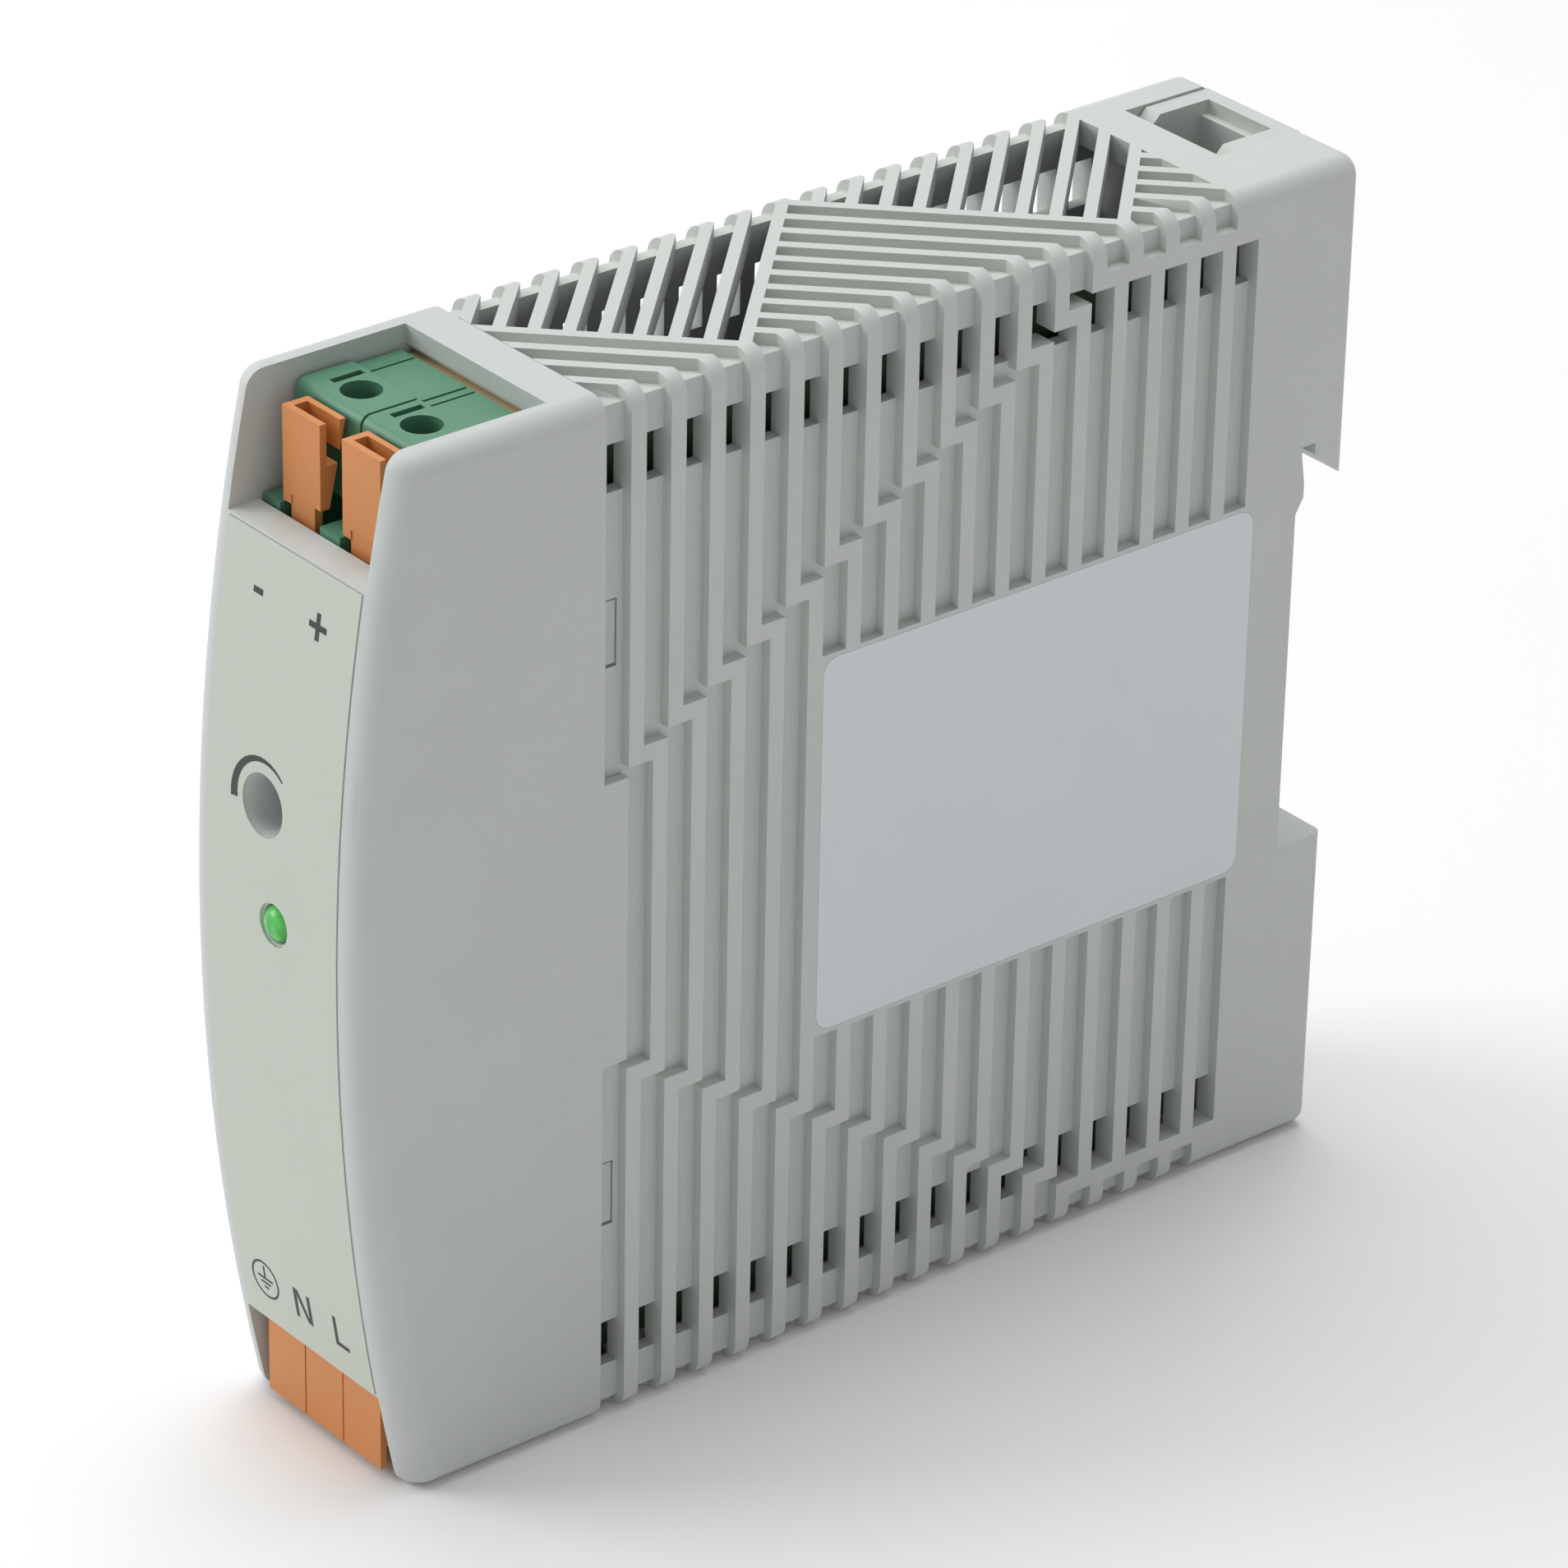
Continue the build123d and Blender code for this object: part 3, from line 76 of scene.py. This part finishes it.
def noise(tree, scale, detail=3.0, rough=0.55, stretch=(1, 1, 1)):
    """A noise texture in object space; scale is in features per metre."""
    coords = tree.nodes.new("ShaderNodeTexCoord")
    mapping = tree.nodes.new("ShaderNodeMapping")
    mapping.inputs["Scale"].default_value = stretch
    texture = tree.nodes.new("ShaderNodeTexNoise")
    texture.inputs["Scale"].default_value = scale
    texture.inputs["Detail"].default_value = detail
    texture.inputs["Roughness"].default_value = rough
    tree.links.new(coords.outputs["Object"], mapping.inputs["Vector"])
    tree.links.new(mapping.outputs["Vector"], texture.inputs["Vector"])
    return texture


def ramp(tree, source, stops):
    """A colour ramp fed by a texture; stops are (place, linear colour)."""
    node = tree.nodes.new("ShaderNodeValToRGB")
    elements = node.color_ramp.elements
    elements[0].position, elements[0].color = stops[0]
    elements[1].position, elements[1].color = stops[-1]
    for place, colour in stops[1:-1]:
        element = elements.new(place)
        element.color = colour
    tree.links.new(source, node.inputs["Fac"])
    return node


def level(tree, source, low, high):
    """Maps a 0 to 1 value onto a range."""
    node = tree.nodes.new("ShaderNodeMapRange")
    node.inputs["To Min"].default_value = low
    node.inputs["To Max"].default_value = high
    tree.links.new(source, node.inputs["Value"])
    return node


def shade(colour, factor):
    """A lighter or darker linear colour."""
    return (*(min(1.0, value * factor) for value in colour[:3]), 1.0)


def moulded(name, rgb, rough=0.5, spread=0.05, grain=5200, bump=0.12, cloud=90, stretch=(1, 1, 1)):
    """Moulded plastic: a fine eroded grain, and a slow drift of colour and gloss."""
    material, tree, shader = new_material(name)
    base = linear(rgb)
    drift = noise(tree, cloud, 4.0, 0.6, stretch)
    stops = [(0.3, shade(base, 1 - spread)), (0.5, base), (0.72, shade(base, 1 + spread))]
    tint = ramp(tree, drift.outputs["Fac"], stops)
    tree.links.new(tint.outputs["Color"], shader.inputs["Base Color"])
    fine = noise(tree, grain, 2.0, 0.5, stretch)
    gloss = level(tree, fine.outputs["Fac"], rough - 0.08, rough + 0.1)
    tree.links.new(gloss.outputs["Result"], shader.inputs["Roughness"])
    relief = tree.nodes.new("ShaderNodeBump")
    relief.inputs["Strength"].default_value = bump
    relief.inputs["Distance"].default_value = GRAIN_DEPTH
    tree.links.new(fine.outputs["Fac"], relief.inputs["Height"])
    tree.links.new(relief.outputs["Normal"], shader.inputs["Normal"])
    shader.inputs["Specular IOR Level"].default_value = PLASTIC_SPECULAR
    return material


def metal(name, rgb, rough=0.35, grain=900, stretch=(1, 1, 12)):
    """Drawn or rolled metal with fine lines along one direction."""
    material, tree, shader = new_material(name)
    base = linear(rgb)
    lines = noise(tree, grain, 3.0, 0.6, stretch)
    tint = ramp(tree, lines.outputs["Fac"], [(0.3, shade(base, 0.9)), (0.7, base)])
    tree.links.new(tint.outputs["Color"], shader.inputs["Base Color"])
    gloss = level(tree, lines.outputs["Fac"], rough - 0.08, rough + 0.12)
    tree.links.new(gloss.outputs["Result"], shader.inputs["Roughness"])
    shader.inputs["Metallic"].default_value = 1.0
    return material


def dress(node, material):
    """Gives a CAD node its material in every slot."""
    mesh = nodes[node].data
    if not mesh.materials:
        mesh.materials.append(material)
    for index in range(len(mesh.materials)):
        mesh.materials[index] = material


shell = moulded("shell_grey", (198, 202, 198), rough=0.52, spread=0.02)
cover = moulded("cover_grey", (196, 200, 198), rough=0.5, spread=0.015)
latch = moulded("latch_grey", (196, 200, 196), rough=0.48, spread=0.02)
film = moulded("front_film", (192, 198, 188), rough=0.42, spread=0.012, grain=3000, bump=0.05)
label = moulded("label_white", (220, 223, 227), rough=0.38, spread=0.01, grain=2500, bump=0.04)
green = moulded("terminal_green", (84, 134, 108), rough=0.4, spread=0.05)
orange = moulded("lever_orange", (206, 134, 76), rough=0.42, spread=0.05)
cream = moulded("board_cream", (214, 192, 148), rough=0.6, spread=0.08, cloud=260, stretch=(1, 1, 0.2))
board_green = moulded("board_green", (58, 74, 56), rough=0.5, spread=0.12, cloud=260)
black = moulded("black_plastic", (28, 28, 30), rough=0.5, spread=0.15)
tape = moulded("winding_tape", (146, 98, 48), rough=0.35, spread=0.12, stretch=(1, 1, 6))
ferrite = moulded("ferrite", (44, 43, 46), rough=0.55, spread=0.15)
sleeve = moulded("capacitor_sleeve", (24, 26, 34), rough=0.3, spread=0.1)
box_grey = moulded("film_capacitor_box", (150, 152, 150), rough=0.45, spread=0.05)
disc_blue = moulded("disc_blue", (44, 92, 158), rough=0.3, spread=0.1)
disc_dark = moulded("disc_dark", (52, 56, 50), rough=0.5, spread=0.15)
fuse_brown = moulded("fuse_brown", (86, 48, 30), rough=0.4, spread=0.1)
trimmer_blue = moulded("trimmer_blue", (46, 86, 160), rough=0.4, spread=0.05)
rotor_white = moulded("rotor_white", (222, 220, 212), rough=0.4, spread=0.03)
tin = metal("tinned", (196, 196, 198), rough=0.38)
steel = metal("spring_steel", (168, 168, 172), rough=0.3)
aluminium = metal("heatsink", (200, 202, 205), rough=0.42, stretch=(1, 12, 1))
copper = metal("enamelled_copper", (186, 104, 60), rough=0.3, stretch=(1, 12, 1))

lamp, lamp_tree, lamp_shader = new_material("lamp_green")
lamp_cloud = noise(lamp_tree, 700, 2.0)
lamp_stops = [(0.3, linear((40, 150, 52))), (0.7, linear((92, 196, 96)))]
lamp_tint = ramp(lamp_tree, lamp_cloud.outputs["Fac"], lamp_stops)
lamp_tree.links.new(lamp_tint.outputs["Color"], lamp_shader.inputs["Base Color"])
lamp_tree.links.new(lamp_tint.outputs["Color"], lamp_shader.inputs["Emission Color"])
lamp_shader.inputs["Emission Strength"].default_value = 0.15
lamp_shader.inputs["Roughness"].default_value = 0.18

finishes = {
    "main_housing": shell,
    "front_cover": cover,
    "rail_latch": latch,
    "front_film": film,
    "side_label": label,
    "latch_spring": steel,
    "output_terminal": green,
    "input_terminal": green,
    "output_button_minus": orange,
    "output_button_plus": orange,
    "input_button_earth": orange,
    "input_button_neutral": orange,
    "input_button_line": orange,
    "output_clamp_springs": steel,
    "input_clamp_springs": steel,
    "output_contact_pins": tin,
    "input_contact_pins": tin,
    "front_board": cream,
    "main_board": board_green,
    "link_header": black,
    "link_pins": tin,
    "front_board_leads": tin,
    "component_leads": tin,
    "status_lamp": lamp,
    "lamp_spacer": black,
    "trimmer_body": trimmer_blue,
    "trimmer_rotor": rotor_white,
    "transformer_core": ferrite,
    "transformer_bobbin": black,
    "transformer_winding": tape,
    "output_capacitors": sleeve,
    "input_capacitor": sleeve,
    "x_capacitor": box_grey,
    "y_capacitors": disc_blue,
    "varistor": disc_blue,
    "inrush_thermistor": disc_dark,
    "choke_core": ferrite,
    "choke_windings": copper,
    "bridge_rectifier": black,
    "optocoupler": black,
    "control_chip": black,
    "output_diode": black,
    "power_transistor": black,
    "diode_heatsink": aluminium,
    "transistor_heatsink": aluminium,
    "fuse": fuse_brown,
}
for name in nodes:
    dress(name, finishes[name])


# ---------------------------------------------------------------- soft edges on the moulded parts
EDGE_WELD = 0.001 * MM
EDGE_BEVEL = 0.12 * MM
EDGE_ANGLE = math.radians(32)  # edges flatter than this stay as they are


def soften(name):
    """Small rounded edges on a CAD node, as moulded parts have."""
    part = nodes[name]
    weld = part.modifiers.new("weld", "WELD")
    weld.merge_threshold = EDGE_WELD
    bevel = part.modifiers.new("bevel", "BEVEL")
    bevel.width = EDGE_BEVEL
    bevel.segments = 2
    bevel.limit_method = "ANGLE"
    bevel.angle_limit = EDGE_ANGLE
    bevel.use_clamp_overlap = True
    bevel.miter_outer = "MITER_SHARP"


for name in ("main_housing", "front_cover", "rail_latch"):
    soften(name)

# ---------------------------------------------------------------- generic marks printed on the film
PRINT = 0.015 * MM  # how far the ink stands on the film
SINK = 0.03 * MM  # how far it reaches into it


def bow_y(z):
    """Y of the film's outer face at height z."""
    return CROWN + BOW - math.sqrt(BOW ** 2 - (z - MIDDLE) ** 2)


def section(shape, x, z, across_x, across_z):
    """Four corners of an inked line's section around a point; across is half its width."""
    ring = []
    for side, depth in ((1, -PRINT), (-1, -PRINT), (-1, SINK), (1, SINK)):
        corner_z = z + side * across_z
        ring.append(shape.verts.new((x + side * across_x, bow_y(corner_z) + depth, corner_z)))
    return ring


def skin(shape, rings, closed=False):
    """Faces between neighbouring sections, and caps unless the line closes on itself."""
    for first, second in zip(rings, rings[1:]):
        for index in range(4):
            following = (index + 1) % 4
            shape.faces.new((first[index], first[following], second[following], second[index]))
    if closed:
        bmesh.ops.remove_doubles(shape, verts=rings[0] + rings[-1], dist=0.001 * MM)
    else:
        shape.faces.new(rings[0][::-1])
        shape.faces.new(rings[-1])


def stroke(shape, start, end, width):
    """A straight inked line on the bowed film between two points in X and Z."""
    (x0, z0), (x1, z1) = start, end
    length = math.hypot(x1 - x0, z1 - z0)
    across_x = -(z1 - z0) / length * width / 2
    across_z = (x1 - x0) / length * width / 2
    steps = max(1, round(length / (1.5 * MM)))
    rings = []
    for step in range(steps + 1):
        part = step / steps
        rings.append(section(shape, x0 + (x1 - x0) * part, z0 + (z1 - z0) * part, across_x, across_z))
    skin(shape, rings)


def arc_stroke(shape, centre, radius, low, high, widths, steps=14):
    """An inked arc whose width grows from the first to the second value; angles in degrees."""
    rings = []
    for step in range(steps + 1):
        part = step / steps
        angle = math.radians(low + (high - low) * part)
        half = (widths[0] + (widths[1] - widths[0]) * part) / 2
        x = centre[0] + radius * math.cos(angle)
        z = centre[1] + radius * math.sin(angle)
        rings.append(section(shape, x, z, half * math.cos(angle), half * math.sin(angle)))
    skin(shape, rings, closed=high - low >= 360)


def mark(name, draw):
    """One printed mark as its own thin piece on the module."""
    mesh = bpy.data.meshes.new(name)
    shape = bmesh.new()
    draw(shape)
    bmesh.ops.recalc_face_normals(shape, faces=shape.faces)
    shape.to_mesh(mesh)
    shape.free()
    piece = bpy.data.objects.new(name, mesh)
    bpy.context.collection.objects.link(piece)
    mesh.materials.append(ink)
    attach(piece, "module")


ink = moulded("film_ink", (52, 54, 54), rough=0.5, spread=0.1, cloud=900)
POLE_X = 3.81 * MM  # half the pitch of the output poles
INPUT_X = 5.08 * MM  # pitch of the input poles
SIGN_Z = 74.6 * MM
SIGN_WIDTH = 0.5 * MM
LETTER_Z = 13.0 * MM
LETTER_HALF = 1.4 * MM
LETTER_WIDTH = 0.4 * MM
DIAL = ((ROTOR_LOW[0] + ROTOR_HIGH[0]) / 2, (ROTOR_LOW[2] + ROTOR_HIGH[2]) / 2)


def draw_minus(shape):
    stroke(shape, (-POLE_X - 0.6 * MM, SIGN_Z), (-POLE_X + 0.6 * MM, SIGN_Z), SIGN_WIDTH)


def draw_plus(shape):
    reach = 1.1 * MM
    gap = 0.27 * MM  # the upright is two pieces that end just clear of the bar
    stroke(shape, (POLE_X - reach, SIGN_Z), (POLE_X + reach, SIGN_Z), SIGN_WIDTH)
    stroke(shape, (POLE_X, SIGN_Z + gap), (POLE_X, SIGN_Z + reach), SIGN_WIDTH)
    stroke(shape, (POLE_X, SIGN_Z - reach), (POLE_X, SIGN_Z - gap), SIGN_WIDTH)


def draw_dial(shape):
    arc_stroke(shape, DIAL, 3.7 * MM, 50, 190, (0.15 * MM, 0.9 * MM))


def draw_neutral(shape):
    low, high = LETTER_Z - LETTER_HALF, LETTER_Z + LETTER_HALF
    stroke(shape, (-0.9 * MM, low), (-0.9 * MM, high), LETTER_WIDTH)
    stroke(shape, (0.9 * MM, low), (0.9 * MM, high), LETTER_WIDTH)
    stroke(shape, (-0.68 * MM, high - 0.1 * MM), (0.68 * MM, low + 0.1 * MM), LETTER_WIDTH)


def draw_line(shape):
    low, high = LETTER_Z - LETTER_HALF, LETTER_Z + LETTER_HALF
    foot = low + LETTER_WIDTH / 2
    stroke(shape, (INPUT_X - 0.7 * MM, low + 0.42 * MM), (INPUT_X - 0.7 * MM, high), LETTER_WIDTH)
    stroke(shape, (INPUT_X - 0.9 * MM, foot), (INPUT_X + 0.9 * MM, foot), LETTER_WIDTH)


def draw_earth_ring(shape):
    arc_stroke(shape, (-INPUT_X, LETTER_Z), 1.7 * MM, 0, 360, (0.2 * MM, 0.2 * MM), 28)


def draw_earth(shape):
    top = LETTER_Z + 0.1 * MM
    stroke(shape, (-INPUT_X, top + 0.14 * MM), (-INPUT_X, LETTER_Z + 1.3 * MM), 0.22 * MM)
    for number, half in enumerate((1.0, 0.65, 0.3)):
        z = top - number * 0.45 * MM
        stroke(shape, (-INPUT_X - half * MM, z), (-INPUT_X + half * MM, z), 0.2 * MM)


for mark_name, draw in (
    ("mark_minus", draw_minus),
    ("mark_plus", draw_plus),
    ("mark_dial_wedge", draw_dial),
    ("mark_neutral", draw_neutral),
    ("mark_line", draw_line),
    ("mark_earth_ring", draw_earth_ring),
    ("mark_earth", draw_earth),
):
    mark(mark_name, draw)

# ---------------------------------------------------------------- camera
AZIMUTH = math.radians(50.59)
ELEVATION = math.radians(28.17)
ROLL = math.radians(1.12)
AIM = Vector((-4.702, 4.579, 40.912)) * MM
DISTANCE = 601.6 * MM
SENSOR = 36  # width, in millimetres as Blender has it
LENS = 170.1
flat = math.cos(ELEVATION)
back = Vector((math.sin(AZIMUTH) * flat, -math.cos(AZIMUTH) * flat, math.sin(ELEVATION)))
level_right = Vector((math.cos(AZIMUTH), math.sin(AZIMUTH), 0))
level_up = back.cross(level_right)
right = math.cos(ROLL) * level_right + math.sin(ROLL) * level_up
up = -math.sin(ROLL) * level_right + math.cos(ROLL) * level_up

camera_data = bpy.data.cameras.new("camera")
camera_data.sensor_width = SENSOR
camera_data.lens = LENS
camera_data.clip_start = 0.01
camera = bpy.data.objects.new("camera", camera_data)
turned = Matrix((right, up, back)).transposed().to_4x4()
camera.matrix_world = Matrix.Translation(AIM + back * DISTANCE) @ turned
bpy.context.collection.objects.link(camera)
bpy.context.scene.camera = camera


# ---------------------------------------------------------------- floor, world and lamps
AMBIENT = 0.34  # the part of the world's light that falls on surfaces
FLOOR_REACH = 3.0
FLOOR_DROP = 0.05 * MM  # keeps the floor just under the object
CENTRE = (0, 0, MIDDLE)


def seen_directly(tree):
    """A node that gives 1 for camera, glossy and transmission rays, and 0 for the rest."""
    path = tree.nodes.new("ShaderNodeLightPath")
    reach = tree.nodes.new("ShaderNodeMath")
    reach.operation = "MAXIMUM"
    tree.links.new(path.outputs["Is Camera Ray"], reach.inputs[0])
    tree.links.new(path.outputs["Is Glossy Ray"], reach.inputs[1])
    clear = tree.nodes.new("ShaderNodeMath")
    clear.operation = "MAXIMUM"
    tree.links.new(reach.outputs[0], clear.inputs[0])
    tree.links.new(path.outputs["Is Transmission Ray"], clear.inputs[1])
    return clear


world = bpy.data.worlds.new("studio")
bpy.context.scene.world = world
world.use_nodes = True
world_tree = world.node_tree
world_tree.nodes.clear()
world_out = world_tree.nodes.new("ShaderNodeOutputWorld")
ambient = world_tree.nodes.new("ShaderNodeBackground")
ambient.inputs["Color"].default_value = (1, 1, 1, 1)
ambient.inputs["Strength"].default_value = AMBIENT
white = world_tree.nodes.new("ShaderNodeBackground")
white.inputs["Color"].default_value = (1, 1, 1, 1)
white.inputs["Strength"].default_value = 1.0
world_mix = world_tree.nodes.new("ShaderNodeMixShader")
seen = seen_directly(world_tree)
world_tree.links.new(seen.outputs[0], world_mix.inputs["Fac"])
world_tree.links.new(ambient.outputs[0], world_mix.inputs[1])
world_tree.links.new(white.outputs[0], world_mix.inputs[2])
world_tree.links.new(world_mix.outputs[0], world_out.inputs["Surface"])

floor_mesh = bpy.data.meshes.new("floor")
shape = bmesh.new()
bmesh.ops.create_grid(shape, x_segments=8, y_segments=8, size=FLOOR_REACH)
shape.to_mesh(floor_mesh)
shape.free()
floor = bpy.data.objects.new("floor", floor_mesh)
floor.location.z = -FLOOR_DROP
bpy.context.collection.objects.link(floor)
floor_material, floor_tree, floor_shader = new_material("floor_white")
floor_noise = noise(floor_tree, 3)
floor_stops = [(0.3, (0.93, 0.93, 0.93, 1)), (0.7, (0.96, 0.96, 0.96, 1))]
floor_tint = ramp(floor_tree, floor_noise.outputs["Fac"], floor_stops)
floor_tree.links.new(floor_tint.outputs["Color"], floor_shader.inputs["Base Color"])
floor_shader.inputs["Roughness"].default_value = 0.9
floor_mesh.materials.append(floor_material)


def softbox(name, place, size, power):
    """A square area lamp that faces the middle of the object."""
    data = bpy.data.lights.new(name, "AREA")
    data.shape = "SQUARE"
    data.size = size
    data.energy = power
    light = bpy.data.objects.new(name, data)
    direction = Vector(CENTRE) - Vector(place)
    facing = direction.to_track_quat("-Z", "Y").to_matrix().to_4x4()
    light.matrix_world = Matrix.Translation(place) @ facing
    bpy.context.collection.objects.link(light)


softbox("overhead", place=(-0.25, 0.1, 1.2), size=0.9, power=9)
softbox("front_left", place=(-0.9, -0.9, 0.7), size=0.8, power=9)
softbox("right_fill", place=(1.1, -0.4, 0.35), size=0.8, power=0.8)

bpy.context.scene.view_settings.view_transform = "Standard"
